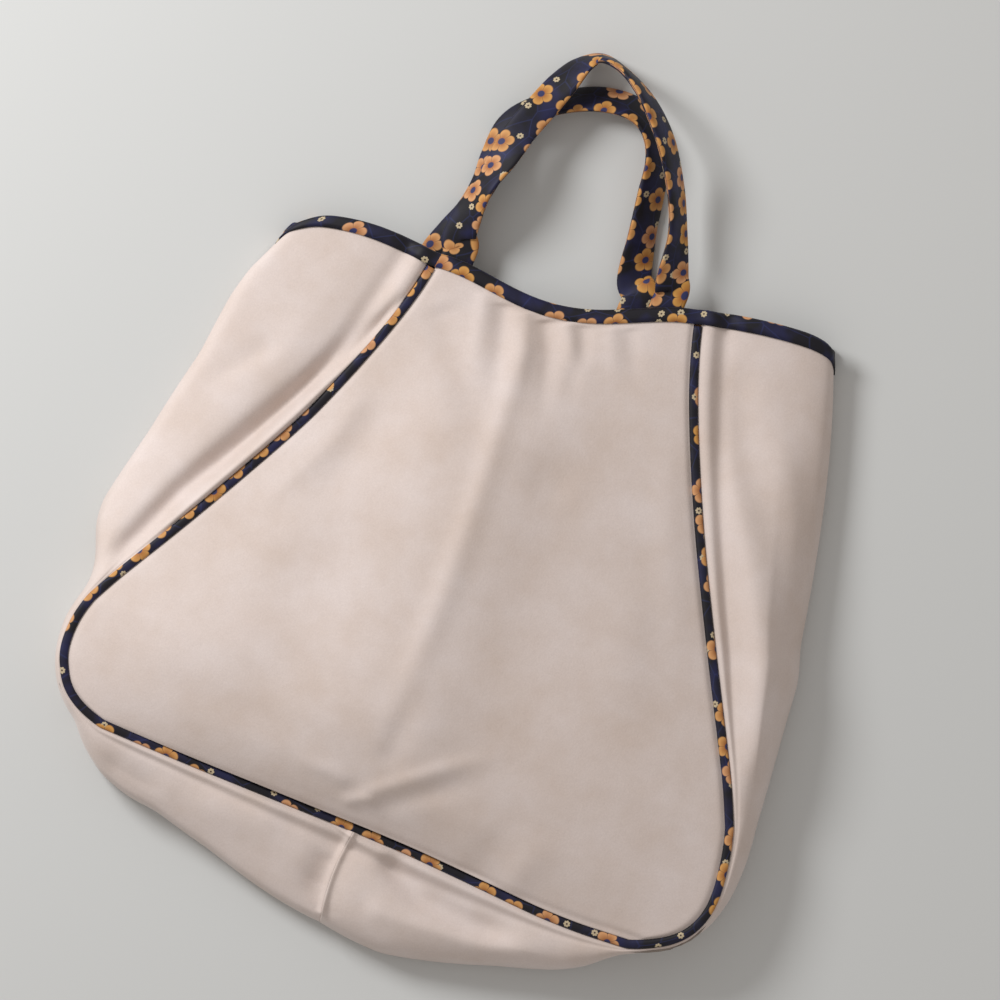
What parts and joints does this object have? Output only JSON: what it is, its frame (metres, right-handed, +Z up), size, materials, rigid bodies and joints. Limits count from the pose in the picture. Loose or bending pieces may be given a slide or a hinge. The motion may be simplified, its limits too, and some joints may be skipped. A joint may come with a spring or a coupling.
{
  "type": "trapeze bag",
  "caption": "Soft cloth bag, narrow at the mouth and wide at the base, with folded side gussets, piped seams, a bound rim and strap handles, lying flat and empty.",
  "frame": {"origin": "middle of the bounding box, on the surface that the bag lies on", "axes": "+Z up from the surface through the front panel, +Y towards the mouth and the handles, +X to the right of the bag as its front is looked at"},
  "size_m": [0.4776, 0.5956, 0.0726],
  "materials": {
    "cloth": "smooth brushed cloth, matte, pinkish beige",
    "print": "smooth printed cotton, dark blue ground with ochre blossoms",
    "lining": "plain woven lining, matte",
    "core": "white felted wadding"
  },
  "bodies": {
    "shell": {"front_panel": "cloth", "back_panel": "cloth", "left_gusset": "cloth", "right_gusset": "cloth", "front_lining": "lining", "back_lining": "lining", "left_gusset_lining": "lining", "right_gusset_lining": "lining", "front_piping": "print", "back_piping": "print", "rim_binding": "print", "front_handle_ends": "print", "back_handle_ends": "print"},
    "front_handle": {"front_handle_sleeve": "print", "front_handle_core": "core"},
    "back_handle": {"back_handle_sleeve": "print", "back_handle_core": "core"}
  },
  "joints": [
    {"name": "front_handle_swing", "type": "hinge", "parent": "shell", "child": "front_handle", "pos_m": [-0.05594, 0.141, 0.02309], "axis": [0.9949, 0.101, 0], "range_deg": [0, 140]},
    {"name": "back_handle_swing", "type": "hinge", "parent": "shell", "child": "back_handle", "pos_m": [-0.07517, 0.1342, 0.003], "axis": [0.9951, 0.0987, 0], "range_deg": [-165, 0]}
  ]
}
